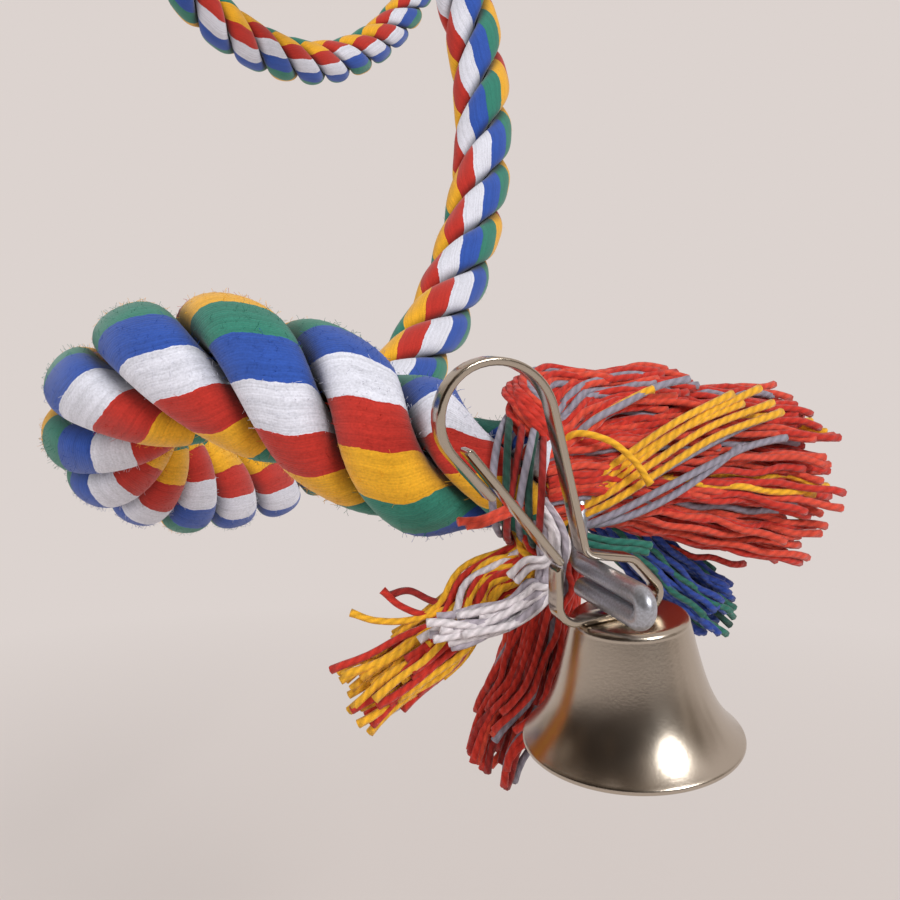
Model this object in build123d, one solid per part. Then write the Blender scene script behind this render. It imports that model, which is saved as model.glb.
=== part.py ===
"""Spiral rope perch for a bird cage, with a bell clip at its lower end.

Millimetres, +Z up, +X to the viewer's right, +Y away from the viewer.
The origin is the inside top of the upper clip, where it hangs on a cage bar.
"""

import math
import os

from build123d import *

# Rope and its stiffening wire
ROPE_DIA = 20.0
CORE_DIA = 2.4
CORE_CLEARANCE = 0.3

# Coil: loops of the rope, counted in turns from the first loop's right side
LOOP_RADIUS = 45.7
LOOP_GROWTH = 25.7
LOOP_PHASE = -45.5
FIRST_CENTRE = (39.9, -275.9, -626.7)
START_TURN = -0.132
END_TURN = 3.25

# The lower loops climb backwards, the upper ones come forward again
LOW_ADVANCE = (-40.0, 222.5, 190.7)
HIGH_ADVANCE = (60.0, -163.0, 112.0)
HIGH_RADIUS = 60.0
LOW_TIP = 47.8
HIGH_TIP = -35.0
LOW_ROLL = 84.8
BEND_FROM = 1.5
BEND_TURNS = 1.1

# Last part of the rope, drawn in to the middle and turned upwards
TOP_ADVANCE = (0.0, -60.0, 250.0)
TOP_RADIUS = 14.0
TOP_FROM = 2.65
TOP_TURNS = 0.6

# Lower end of the rope, lifted level
END_LIFT = 5.2
END_LIFT_TURNS = 0.05

# Bound rope ends
SHOULDER_LENGTH = 4.0
SHOULDER_ROUND = 0.8
NECK_DIA = 14.0
NECK_LENGTH = 7.4
YARN_DIA = 1.6
YARN_GAP = 0.5
WHIPPING_TURNS = 2.5
WHIPPING_CLEARANCE = 0.15

# Wire eyes
BELL_EYE_WIDTH = 2.7
HANG_EYE_WIDTH = 7.6
EYE_BEND = 3.0
WIRE_LEAD = 4.0
BELL_ROD_BACK = 6.0
BELL_ROD_FRONT = 9.0
HANG_ROD_BACK = 6.0
HANG_ROD_FRONT = 5.0
EYE_END_SHORT = 2.0

# Spring strip of both clips, outline in the clip's own plane around the rod of the bell eye
STRIP_WIDTH = 2.4
STRIP_THICK = 0.9
ROD_SEAT_GAP = 0.3
TAIL_END = (-13.3, 10.9)
BULB_LEFT = (-24.4, 24.4)
BULB_RIGHT = (-6.8, 25.4)
LEG_FOOT = (-2.3, 2.8)
LEAF_TOP = (3.7, 1.4)
BASE_RIGHT = (9.2, -4.9)
BASE_LEFT = (-6.0, -4.9)
GATE_PIVOT = (-5.6, 2.6)
GATE_END = (-15.4, 15.8)
BULB_LEFT_BEND = 5.2
BULB_RIGHT_BEND = 5.5
FOOT_BEND = 1.4
LEAF_BEND = 2.0
BASE_BEND = 1.3
GATE_KNUCKLE_DIA = 1.2
GATE_GAP = 0.15

# Bell
BELL_MOUTH_DIA = 26.5
BELL_CROWN_DIA = 13.3
BELL_HEIGHT = 15.0
BELL_WALL = 0.9
BELL_CROWN_ROUND = 0.8
BELL_CHEST_SWELL = 1.1
BELL_WAIST_SWELL = 2.3
BELL_LIP_FLARE = 1.6
BELL_OFFSET = 3.5
BELL_LEAN = 5.0
BELL_AZIMUTH = 21.0
BELL_DIP = 4.0
BELL_FROM_NECK = (5.2, -8.6, -9.3)
RIVET_DIA = 2.0
RIVET_HEAD_DIA = 3.8
RIVET_HEAD_THICK = 0.5
RIVET_CLEARANCE = 0.1
LINK_RADIUS = 1.7
LINK_WIRE_DIA = 0.9
LINK_GAP = 0.3
CLAPPER_STEM = 4.0
CLAPPER_BALL_DIA = 5.4
CLAPPER_SOCKET = 2.2

# Frayed strand ends, set on a ring round the wire
BUNDLE_GAP = 0.4
BUNDLE_ROOT_DIA = 3.7
BUNDLE_RING_DIA = 9.4

# For each lower bundle: its place round the neck in degrees from the back, then its bent line
# as (outward, back, up) from the neck's end with its radius there
LOWER_BUNDLES = {
    "lower_tassel_red": (
        70,
        [(4, 4.5, 6, 2.6), (10, 10, 8, 5.5), (18, 19, 7, 9.0), (28, 27, 5, 11.0)],
    ),
    "lower_tassel_blue": (
        10,
        [(4.5, 8, -2, 2.0), (11, 14.5, -7.5, 2.8), (19, 22.5, -14, 3.6), (26, 28, -18.6, 4.3)],
    ),
    "lower_tassel_dark": (
        -45,
        [(2.2, 5.8, -7.5, 1.9), (2.2, 10, -16, 2.8), (1.2, 12, -28, 4.2), (-1.2, 11.5, -39.4, 5.0)],
    ),
    "lower_tassel_yellow": (
        -98,
        [(1.2, 0.2, -8, 1.8), (-2.5, -0.5, -14, 2.3), (-9.5, -3, -21.7, 3.8), (-18, -4.5, -29.8, 5.5)],
    ),
    "lower_tassel_white": (
        -152,
        [(1.7, -5, -6, 1.8), (0.5, -5.4, -11.5, 2.0), (-4, -7.5, -15.5, 2.4), (-10.6, -9.5, -18, 2.8)],
    ),
}

# The upper bundles share one drooping line, as (outward, away from the neck) with its radius
UPPER_BUNDLE_LINE = [(2.8, 6.5, 2.0), (1.5, 12, 2.6), (-5, 16.5, 3.8), (-13, 19, 5.0)]
UPPER_BUNDLES = {"upper_tassel_red": 0, "upper_tassel_yellow": 120, "upper_tassel_white": 240}

# Sampling of the curves
STEPS_PER_TURN = 4
GAP_SAMPLES = 400


def ease(turn, start, span):
    """Smooth step from 0 to 1 over a span of turns."""
    x = min(max((turn - start) / span, 0.0), 1.0)
    return 3 * x * x - 2 * x ** 3


def eased_turns(turn, start, span):
    """Turns gathered by the smooth step up to this turn."""
    x = (turn - start) / span
    inside = min(max(x, 0.0), 1.0)
    return span * (inside ** 3 - inside ** 4 / 2 + max(x - 1.0, 0.0))


def coil_point(turn):
    """Centre of the rope: a circle on a tipped plane that travels along a bent axis."""
    bend = ease(turn, BEND_FROM, BEND_TURNS)
    top = ease(turn, TOP_FROM, TOP_TURNS)
    low = Vector(*LOW_ADVANCE)
    high = Vector(*HIGH_ADVANCE)
    centre = Vector(*FIRST_CENTRE) + low * turn
    centre = centre + (high - low) * eased_turns(turn, BEND_FROM, BEND_TURNS)
    centre = centre + (Vector(*TOP_ADVANCE) - high) * eased_turns(turn, TOP_FROM, TOP_TURNS)
    tip = math.radians(LOW_TIP + (HIGH_TIP - LOW_TIP) * bend - HIGH_TIP * top)
    roll = math.radians(LOW_ROLL * (1 - bend))
    radius = LOOP_RADIUS + LOOP_GROWTH * turn
    radius = radius + (HIGH_RADIUS - radius) * bend
    radius = radius + (TOP_RADIUS - radius) * top
    side = Vector(math.cos(roll), 0, math.sin(roll))
    normal = Vector(-math.sin(roll) * math.cos(tip), math.sin(tip), math.cos(roll) * math.cos(tip))
    back = normal.cross(side)
    angle = math.radians(LOOP_PHASE - 360 * turn)
    point = centre + side * (radius * math.cos(angle)) + back * (radius * math.sin(angle))
    lift = max((START_TURN + END_LIFT_TURNS - turn) / END_LIFT_TURNS, 0.0)
    return point + Vector(0, 0, END_LIFT * lift * lift)


def heading(curve, turn):
    """Direction of travel of a curve at this turn."""
    step = 1e-4
    return (curve(turn + step) - curve(turn - step)).normalized()


def biarcs(curve, start, end):
    """Pairs of arcs that follow a curve, one pair to each quarter turn."""
    count = math.ceil((end - start) * STEPS_PER_TURN)
    edges = []
    for i in range(count):
        first = start + (end - start) * i / count
        last = start + (end - start) * (i + 1) / count
        p0 = curve(first)
        p1 = curve(last)
        t0 = heading(curve, first)
        t1 = heading(curve, last)
        chord = p1 - p0
        a = 2 * (1 - t0.dot(t1))
        b = 2 * chord.dot(t0 + t1)
        c = -chord.dot(chord)
        reach = (-b + math.sqrt(b * b - 4 * a * c)) / (2 * a)
        corner0 = p0 + t0 * reach
        corner1 = p1 - t1 * reach
        middle = (corner0 + corner1) * 0.5
        edges.append(Edge.make_tangent_arc(p0, t0, middle))
        edges.append(Edge.make_tangent_arc(middle, (corner1 - corner0).normalized(), p1))
    return edges


def rounded_route(points, bends):
    """Straight runs between points, with each inner corner rounded to its own radius."""
    corners = [Vector(*p) for p in points]
    edges = []
    last = corners[0]
    for i, bend in enumerate(bends, start=1):
        before = (corners[i - 1] - corners[i]).normalized()
        after = (corners[i + 1] - corners[i]).normalized()
        half = before.get_angle(after) / 2
        reach = bend / math.tan(math.radians(half))
        enter = corners[i] + before * reach
        leave = corners[i] + after * reach
        if (enter - last).length > 1e-6:
            edges.append(Edge.make_line(last, enter))
        edges.append(Edge.make_tangent_arc(enter, before * -1, leave))
        last = leave
    edges.append(Edge.make_line(last, corners[-1]))
    return edges


def tube(edges, diameter):
    """Round section swept along a route."""
    path = Wire(edges)
    section = Plane(origin=path @ 0, z_dir=path % 0) * Circle(diameter / 2)
    return sweep(section, path=path)


def least_gap(curve, start, end, diameter, apart):
    """Smallest free space between two lengths of one tube that lie apart along it."""
    points = [curve(start + (end - start) * i / GAP_SAMPLES) for i in range(GAP_SAMPLES + 1)]
    nearest = math.inf
    run = [0.0]
    for a, b in zip(points, points[1:]):
        run.append(run[-1] + (b - a).length)
    for i, a in enumerate(points):
        for j in range(i + 1, len(points)):
            if run[j] - run[i] > apart:
                nearest = min(nearest, (points[j] - a).length)
    return nearest - diameter


def strip(points, bends):
    """Flat spring strip bent to an outline in the XZ plane, centred on that plane."""
    route = rounded_route([(x, 0, z) for x, z in points], bends)
    outline = Wire(route).offset_2d(STRIP_THICK / 2, kind=Kind.ARC, side=Side.BOTH, closed=True)
    return extrude(Face(outline), amount=STRIP_WIDTH / 2, dir=(0, 1, 0), both=True)


def bundle(first_dir, points, radii):
    """Frayed yarns of one strand as a plain flaring body along a bent line."""
    sections = [Plane(origin=points[0], z_dir=first_dir) * Circle(radii[0])]
    for i in range(1, len(points)):
        ahead = points[min(i + 1, len(points) - 1)]
        sections.append(Plane(origin=points[i], z_dir=ahead - points[i - 1]) * Circle(radii[i]))
    return loft(sections, ruled=True)


# Rope: one tube along the coil, each end drawn in to a bound neck
coil_edges = biarcs(coil_point, START_TURN, END_TURN)
lower_end = coil_point(START_TURN)
upper_end = coil_point(END_TURN)
lower_out = heading(coil_point, START_TURN) * -1
upper_out = heading(coil_point, END_TURN)
lower_back = Vector(0, 0, 1).cross(lower_out).normalized()
upper_back = Vector(0, 0, 1).cross(upper_out).normalized()
lower_plane = Plane(origin=lower_end, x_dir=lower_back, z_dir=lower_out)
upper_plane = Plane(origin=upper_end, x_dir=upper_back, z_dir=upper_out)

bore_dia = CORE_DIA + 2 * CORE_CLEARANCE
neck_profile = Polyline(
    (bore_dia / 2, 0),
    (ROPE_DIA / 2, 0),
    (ROPE_DIA / 2 - SHOULDER_ROUND, SHOULDER_LENGTH / 2),
    (NECK_DIA / 2, SHOULDER_LENGTH),
    (NECK_DIA / 2, SHOULDER_LENGTH + NECK_LENGTH),
    (bore_dia / 2, SHOULDER_LENGTH + NECK_LENGTH),
    close=True,
)
neck = revolve(Plane.XZ * make_face(neck_profile), axis=Axis.Z)
rope = tube(coil_edges, ROPE_DIA) - tube(coil_edges, bore_dia)
rope = rope + lower_plane * neck + upper_plane * neck

# Whippings: yarn wound round both necks
whip_radius = NECK_DIA / 2 + WHIPPING_CLEARANCE + YARN_DIA / 2
whip_pitch = YARN_DIA + YARN_GAP


def whipping_point(turn):
    """Yarn wound round the neck, starting beside the shoulder."""
    angle = 2 * math.pi * turn
    height = SHOULDER_LENGTH + YARN_DIA / 2 + WHIPPING_CLEARANCE + whip_pitch * turn
    return Vector(whip_radius * math.cos(angle), whip_radius * math.sin(angle), height)


whipping_edges = biarcs(whipping_point, 0.0, WHIPPING_TURNS)
whipping = tube(whipping_edges, YARN_DIA)
lower_whipping = lower_plane * whipping
upper_whipping = upper_plane * whipping

# Clips: each a spring strip bent to a pear, its gate leg free to be pressed in
knuckle_drop = GATE_KNUCKLE_DIA / 2 + GATE_GAP + STRIP_THICK / 2
arm_run = Vector(GATE_PIVOT[0] - BASE_LEFT[0], GATE_PIVOT[1] - BASE_LEFT[1])
arm_top = Vector(*GATE_PIVOT) - arm_run.normalized() * knuckle_drop
frame_points = [
    TAIL_END,
    BULB_LEFT,
    BULB_RIGHT,
    LEG_FOOT,
    LEAF_TOP,
    BASE_RIGHT,
    BASE_LEFT,
    (arm_top.X, arm_top.Y),
]
frame_bends = [BULB_LEFT_BEND, BULB_RIGHT_BEND, FOOT_BEND, LEAF_BEND, BASE_BEND, BASE_BEND]
clip_frame = strip(frame_points, frame_bends)
gate_run = Vector(GATE_END[0] - GATE_PIVOT[0], 0, GATE_END[1] - GATE_PIVOT[1])
gate_middle = Vector(GATE_PIVOT[0], 0, GATE_PIVOT[1]) + gate_run / 2
gate_plane = Plane(origin=gate_middle, x_dir=gate_run, z_dir=(0, 1, 0))
gate_section = gate_plane * SlotCenterToCenter(gate_run.length, STRIP_THICK)
gate_leg = extrude(gate_section, amount=STRIP_WIDTH / 2, both=True)
knuckle = Cylinder(GATE_KNUCKLE_DIA / 2, STRIP_WIDTH, rotation=(90, 0, 0))
clip_gate = gate_leg + Pos(GATE_PIVOT[0], 0, GATE_PIVOT[1]) * knuckle

# Where a bar lies in the pear's bulb, and where the hanging eye pulls on the clip's base
tail = Vector(TAIL_END[0] - BULB_LEFT[0], TAIL_END[1] - BULB_LEFT[1]).normalized()
top = Vector(BULB_RIGHT[0] - BULB_LEFT[0], BULB_RIGHT[1] - BULB_LEFT[1]).normalized()
half_corner = math.radians(tail.get_angle(top) / 2)
bulb_centre = Vector(*BULB_LEFT) + (tail + top).normalized() * (BULB_LEFT_BEND / math.sin(half_corner))
seat_height = BASE_LEFT[1] + STRIP_THICK / 2 + ROD_SEAT_GAP + CORE_DIA / 2
seat = Vector(BELL_OFFSET, seat_height)
pull = bulb_centre - seat
hang_lean = math.atan2(-pull.X, pull.Y)
hang_drop = pull.length + BULB_LEFT_BEND - STRIP_THICK / 2
hang_rod = Vector(0, 0, -hang_drop)
hang_x = Vector(math.cos(hang_lean), 0, -math.sin(hang_lean))
hang_z = Vector(math.sin(hang_lean), 0, math.cos(hang_lean))
hang_origin = hang_rod - hang_x * seat.X - hang_z * seat.Y
hang_place = Location(Plane(origin=hang_origin, x_dir=hang_x, z_dir=hang_z))
hang_clip_frame = hang_place * clip_frame
hang_clip_gate = hang_place * clip_gate

# Bell unit: clip, rivet and bell share one frame around the rod of the lower eye
neck_end = lower_end + lower_out * (SHOULDER_LENGTH + NECK_LENGTH)
bell_rod = neck_end + Vector(*BELL_FROM_NECK)
azimuth = math.radians(BELL_AZIMUTH)
dip = math.radians(BELL_DIP)
lean = math.radians(BELL_LEAN)
rod_dir = Vector(math.cos(dip) * math.sin(azimuth), -math.cos(dip) * math.cos(azimuth), -math.sin(dip))
across = Vector(math.cos(azimuth), math.sin(azimuth), 0)
upward = across.cross(rod_dir) * -1
bell_x = across * math.cos(lean) + upward * math.sin(lean)
bell_z = upward * math.cos(lean) - across * math.sin(lean)
bell_place = Location(Plane(origin=bell_rod, x_dir=bell_x, z_dir=bell_z))

crown_top = BASE_LEFT[1] - STRIP_THICK / 2
hole_dia = RIVET_DIA + 2 * RIVET_CLEARANCE
rivet_hole = Pos(BELL_OFFSET, 0, crown_top) * Cylinder(hole_dia / 2, 4 * max(STRIP_THICK, BELL_WALL))
bell_clip_frame = bell_place * (clip_frame - rivet_hole)
bell_clip_gate = bell_place * clip_gate

crown = BELL_CROWN_DIA / 2
mouth = BELL_MOUTH_DIA / 2
chest = (crown + BELL_CHEST_SWELL, -0.30 * BELL_HEIGHT)
waist = (crown + BELL_WAIST_SWELL, -0.62 * BELL_HEIGHT)
lip = (mouth - BELL_LIP_FLARE, -0.88 * BELL_HEIGHT)
outer_side = [
    (crown - BELL_CROWN_ROUND, 0.0),
    (crown, -BELL_CROWN_ROUND),
    chest,
    waist,
    lip,
    (mouth, -BELL_HEIGHT),
]
inner_side = [
    (crown - BELL_WALL, -BELL_WALL),
    (chest[0] - BELL_WALL, chest[1]),
    (waist[0] - BELL_WALL, waist[1]),
    (lip[0] - BELL_WALL, lip[1]),
    (mouth - BELL_WALL, -BELL_HEIGHT),
]
bell_outline = [
    Polyline((0, -BELL_WALL), (0, 0), outer_side[0]),
    Spline(*outer_side),
    Line(outer_side[-1], inner_side[-1]),
    Spline(*inner_side),
    Line(inner_side[0], (0, -BELL_WALL)),
]
bell_body = revolve(Plane.XZ * make_face(bell_outline), axis=Axis.Z)
bell_body = Pos(BELL_OFFSET, 0, crown_top) * bell_body - rivet_hole
bell_shell = bell_place * bell_body

# Rivet: joins strip and crown, with a wire link under the crown for the clapper
rivet_top = BASE_LEFT[1] + STRIP_THICK / 2
rivet_base = crown_top - BELL_WALL
link_z = rivet_base - RIVET_HEAD_THICK - LINK_RADIUS
rivet = Pos(0, 0, (rivet_top + rivet_base) / 2) * Cylinder(RIVET_DIA / 2, rivet_top - rivet_base)
rivet_head = Cylinder(RIVET_HEAD_DIA / 2, RIVET_HEAD_THICK)
rivet = rivet + Pos(0, 0, rivet_top + RIVET_HEAD_THICK / 2) * rivet_head
rivet = rivet + Pos(0, 0, rivet_base - RIVET_HEAD_THICK / 2) * rivet_head
link = Torus(LINK_RADIUS, LINK_WIRE_DIA / 2)
rivet = rivet + Pos(0, 0, link_z) * Rot(0, 90, 0) * link
bell_rivet = bell_place * (Pos(BELL_OFFSET, 0, 0) * rivet)

# Clapper: a link on the rivet's link, a short stem and a ball
link_bore = LINK_RADIUS - LINK_WIRE_DIA / 2
clapper_ring_z = link_z - link_bore + LINK_WIRE_DIA / 2 + LINK_GAP - LINK_RADIUS
stem_top = clapper_ring_z - LINK_RADIUS
ball_z = stem_top - CLAPPER_STEM
stem_length = CLAPPER_STEM - CLAPPER_BALL_DIA / 2 + CLAPPER_SOCKET
clapper_wire = Pos(0, 0, clapper_ring_z) * Rot(90, 0, 0) * link
clapper_wire = clapper_wire + Pos(0, 0, stem_top - stem_length / 2) * Cylinder(LINK_WIRE_DIA / 2, stem_length)
clapper_wire = bell_place * (Pos(BELL_OFFSET, 0, 0) * clapper_wire)
socket_dia = LINK_WIRE_DIA + 2 * RIVET_CLEARANCE
socket_depth = CLAPPER_SOCKET + RIVET_CLEARANCE
socket = Pos(0, 0, ball_z + CLAPPER_BALL_DIA / 2) * Cylinder(socket_dia / 2, 2 * socket_depth)
clapper_ball = Pos(0, 0, ball_z) * Sphere(CLAPPER_BALL_DIA / 2) - socket
clapper_ball = bell_place * (Pos(BELL_OFFSET, 0, 0) * clapper_ball)

# Core wire: one length through the whole rope, bent to an eye at each end
bell_eye_down = upward * -BELL_EYE_WIDTH
bell_back = bell_rod - rod_dir * BELL_ROD_BACK
bell_front = bell_rod + rod_dir * BELL_ROD_FRONT
bell_eye_route = [
    bell_back + bell_eye_down + rod_dir * EYE_END_SHORT,
    bell_front + bell_eye_down,
    bell_front,
    bell_back,
    neck_end + lower_out * WIRE_LEAD,
    lower_end,
]
hang_back = hang_rod + Vector(0, HANG_ROD_BACK, 0)
hang_front = hang_rod - Vector(0, HANG_ROD_FRONT, 0)
hang_eye_down = Vector(0, 0, -HANG_EYE_WIDTH)
upper_neck_end = upper_end + upper_out * (SHOULDER_LENGTH + NECK_LENGTH)
hang_eye_route = [
    upper_end,
    upper_neck_end + upper_out * WIRE_LEAD / 2,
    hang_back,
    hang_front,
    hang_front + hang_eye_down,
    hang_back + hang_eye_down - Vector(0, EYE_END_SHORT, 0),
]
bell_turn = BELL_EYE_WIDTH / 2
hang_turn = HANG_EYE_WIDTH / 2
core_edges = rounded_route(bell_eye_route, [bell_turn, bell_turn, EYE_BEND, EYE_BEND])
core_edges = core_edges + coil_edges
core_edges = core_edges + rounded_route(hang_eye_route, [EYE_BEND, EYE_BEND, hang_turn, hang_turn])
core_wire = tube(core_edges, CORE_DIA)

# Tassels: frayed strand ends that leave the end of the neck, spread round the wire
def neck_place(plane, outward, back, up):
    """Point given from the end of a neck, turned with the rope."""
    start = SHOULDER_LENGTH + NECK_LENGTH
    return plane.from_local_coords(Vector(back, up, start + outward))


def tassel(plane, turn, line):
    """One bundle from its place on the neck's end out to its brush end."""
    ring = BUNDLE_RING_DIA / 2
    angle = math.radians(turn)
    root = (BUNDLE_GAP, ring * math.cos(angle), ring * math.sin(angle), BUNDLE_ROOT_DIA / 2)
    stations = [root] + line
    points = [neck_place(plane, out, back, up) for out, back, up, radius in stations]
    return bundle(plane.z_dir, points, [radius for out, back, up, radius in stations])


def drooping_line(turn):
    """The shared upper line turned to one side of the neck."""
    side = math.cos(math.radians(turn))
    rise = math.sin(math.radians(turn))
    return [(out, away * side, away * rise, radius) for out, away, radius in UPPER_BUNDLE_LINE]


nodes = {
    "rope": rope,
    "core_wire": core_wire,
    "lower_whipping": lower_whipping,
    "upper_whipping": upper_whipping,
    "bell_clip_frame": bell_clip_frame,
    "bell_clip_gate": bell_clip_gate,
    "bell_shell": bell_shell,
    "bell_rivet": bell_rivet,
    "clapper_wire": clapper_wire,
    "clapper_ball": clapper_ball,
    "hang_clip_frame": hang_clip_frame,
    "hang_clip_gate": hang_clip_gate,
}
for name, (turn, line) in LOWER_BUNDLES.items():
    nodes[name] = tassel(lower_plane, turn, line)
for name, turn in UPPER_BUNDLES.items():
    nodes[name] = tassel(upper_plane, turn, drooping_line(turn))

os.makedirs("parts", exist_ok=True)
for name, shape in nodes.items():
    export_step(shape, f"parts/{name}.step")

coil_length = sum(edge.length for edge in coil_edges)
coil_gap = least_gap(coil_point, START_TURN, END_TURN, ROPE_DIA, 4 * ROPE_DIA)
print("rope length", round(coil_length), "mm, least gap to itself", round(coil_gap, 1), "mm")
whipping_gap = least_gap(whipping_point, 0.0, WHIPPING_TURNS, YARN_DIA, math.pi * whip_radius)
print("whipping's least gap to itself", round(whipping_gap, 2), "mm")
core_section = math.pi * CORE_DIA ** 2 / 4
core_length = sum(edge.length for edge in core_edges)
core_share = core_wire.volume / (core_section * core_length)
print("core wire's volume over section times length", round(core_share, 4))
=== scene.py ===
"""Spiral rope bird perch with a bell on a spring clip, dressed for rendering.

Metres, +Z up, +X to the viewer's right, +Y away from the viewer.
The origin is the inside top of the upper clip, where it hangs on a cage bar.
"""

import bpy
import numpy as np
from mathutils import Matrix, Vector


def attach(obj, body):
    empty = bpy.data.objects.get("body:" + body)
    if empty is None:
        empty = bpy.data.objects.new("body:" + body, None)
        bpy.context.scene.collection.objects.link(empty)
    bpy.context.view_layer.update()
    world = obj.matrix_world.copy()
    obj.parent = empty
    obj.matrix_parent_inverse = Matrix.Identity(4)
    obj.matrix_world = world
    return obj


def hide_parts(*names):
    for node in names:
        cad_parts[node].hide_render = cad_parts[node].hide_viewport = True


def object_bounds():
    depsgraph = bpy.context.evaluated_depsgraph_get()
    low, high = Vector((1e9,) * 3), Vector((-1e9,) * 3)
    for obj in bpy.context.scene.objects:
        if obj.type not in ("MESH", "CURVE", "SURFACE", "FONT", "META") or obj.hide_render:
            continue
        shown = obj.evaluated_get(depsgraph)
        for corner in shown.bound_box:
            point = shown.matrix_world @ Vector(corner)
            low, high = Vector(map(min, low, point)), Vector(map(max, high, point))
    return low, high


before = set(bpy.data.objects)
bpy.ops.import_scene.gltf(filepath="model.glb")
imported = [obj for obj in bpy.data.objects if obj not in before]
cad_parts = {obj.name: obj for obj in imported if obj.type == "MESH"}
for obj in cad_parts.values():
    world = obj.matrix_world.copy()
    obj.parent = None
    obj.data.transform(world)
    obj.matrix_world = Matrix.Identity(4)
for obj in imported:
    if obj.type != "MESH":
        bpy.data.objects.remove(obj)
cad_low, cad_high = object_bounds()
MM = 0.001

# Rope line: the steel core keeps the coil that was bent by hand, so the rope follows open loops.
# The lower loops climb backwards, the upper ones come forward again to hang under the clip.
# Both ends run straight on through a drawn-in neck.
LOOP_RADIUS = 45.7 * MM
LOOP_GROWTH = 25.7 * MM
LOOP_PHASE = -45.5
FIRST_CENTRE = np.array([39.9, -275.9, -626.7]) * MM
START_TURN = -0.132
END_TURN = 3.25
LOW_ADVANCE = np.array([-40.0, 222.5, 190.7]) * MM
HIGH_ADVANCE = np.array([60.0, -163.0, 112.0]) * MM
TOP_ADVANCE = np.array([0.0, -60.0, 250.0]) * MM
HIGH_RADIUS = 60.0 * MM
LOW_TIP = 47.8
HIGH_TIP = -35.0
LOW_ROLL = 84.8
BEND_FROM = 1.5
BEND_TURNS = 1.1
TOP_RADIUS = 14.0 * MM
TOP_FROM = 2.65
TOP_TURNS = 0.6
END_LIFT = 5.2 * MM
END_LIFT_TURNS = 0.05
SHOULDER_LENGTH = 4.0 * MM
NECK_LENGTH = 7.4 * MM
HEADING_STEP = 1e-4
COIL_SAMPLES = 6001
ROPE_STATIONS = 1480


def unit(vectors):
    """Vectors divided by their lengths."""
    return vectors / np.linalg.norm(vectors, axis=-1, keepdims=True)


def ease(x):
    """Smooth step: 0 before 0, 1 after 1, and 3x^2 - 2x^3 between."""
    x = np.clip(x, 0.0, 1.0)
    return 3 * x ** 2 - 2 * x ** 3


def eased_turns(turn, start, span):
    """Area under the smooth step up to each turn."""
    x = (turn - start) / span
    inside = np.clip(x, 0.0, 1.0)
    return span * (inside ** 3 - inside ** 4 / 2 + np.maximum(x - 1.0, 0.0))


def coil_line(turn):
    """Rope centre and its direction away from the loop's middle: a circle on a tipped plane
    whose middle travels along a bent axis, one circle to each turn."""
    bend = ease((turn - BEND_FROM) / BEND_TURNS)
    top = ease((turn - TOP_FROM) / TOP_TURNS)
    middle = FIRST_CENTRE + turn[:, None] * LOW_ADVANCE
    middle = middle + eased_turns(turn, BEND_FROM, BEND_TURNS)[:, None] * (HIGH_ADVANCE - LOW_ADVANCE)
    middle = middle + eased_turns(turn, TOP_FROM, TOP_TURNS)[:, None] * (TOP_ADVANCE - HIGH_ADVANCE)
    tip = np.radians(LOW_TIP + (HIGH_TIP - LOW_TIP) * bend - HIGH_TIP * top)
    roll = np.radians(LOW_ROLL * (1 - bend))
    radius = LOOP_RADIUS + LOOP_GROWTH * turn
    radius = radius + (HIGH_RADIUS - radius) * bend
    radius = radius + (TOP_RADIUS - radius) * top
    side = np.stack([np.cos(roll), 0 * roll, np.sin(roll)], -1)
    normal = np.stack([-np.sin(roll) * np.cos(tip), np.sin(tip), np.cos(roll) * np.cos(tip)], -1)
    back = np.cross(normal, side)
    angle = np.radians(LOOP_PHASE - 360 * turn)[:, None]
    away = side * np.cos(angle) + back * np.sin(angle)
    line = middle + away * radius[:, None]
    lift = np.maximum((START_TURN + END_LIFT_TURNS - turn) / END_LIFT_TURNS, 0.0)
    line[:, 2] += END_LIFT * lift ** 2
    return line, away


def coil_end(turn, sign):
    """End point of the coil and the direction in which the rope leaves it."""
    near = coil_line(np.array([turn - HEADING_STEP, turn, turn + HEADING_STEP]))[0]
    return near[1], unit(near[2] - near[0]) * sign


lower_end, lower_out = coil_end(START_TURN, -1)
upper_end, upper_out = coil_end(END_TURN, 1)
NECK_REACH = SHOULDER_LENGTH + NECK_LENGTH
coil, coil_away = coil_line(np.linspace(START_TURN, END_TURN, COIL_SAMPLES))
route = np.concatenate([[lower_end + lower_out * NECK_REACH], coil, [upper_end + upper_out * NECK_REACH]])
route_away = np.concatenate([coil_away[:1], coil_away, coil_away[-1:]])
route_run = np.concatenate([[0.0], np.cumsum(np.linalg.norm(np.diff(route, axis=0), axis=1))])
rope_run = np.linspace(0.0, route_run[-1], ROPE_STATIONS)
rope_line = np.stack([np.interp(rope_run, route_run, route[:, k]) for k in range(3)], -1)
rope_away = np.stack([np.interp(rope_run, route_run, route_away[:, k]) for k in range(3)], -1)
rope_ahead = unit(np.gradient(rope_line, rope_run, axis=0))
rope_normal = unit(rope_away - np.sum(rope_away * rope_ahead, -1, keepdims=True) * rope_ahead)
rope_side = np.cross(rope_ahead, rope_normal)

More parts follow.
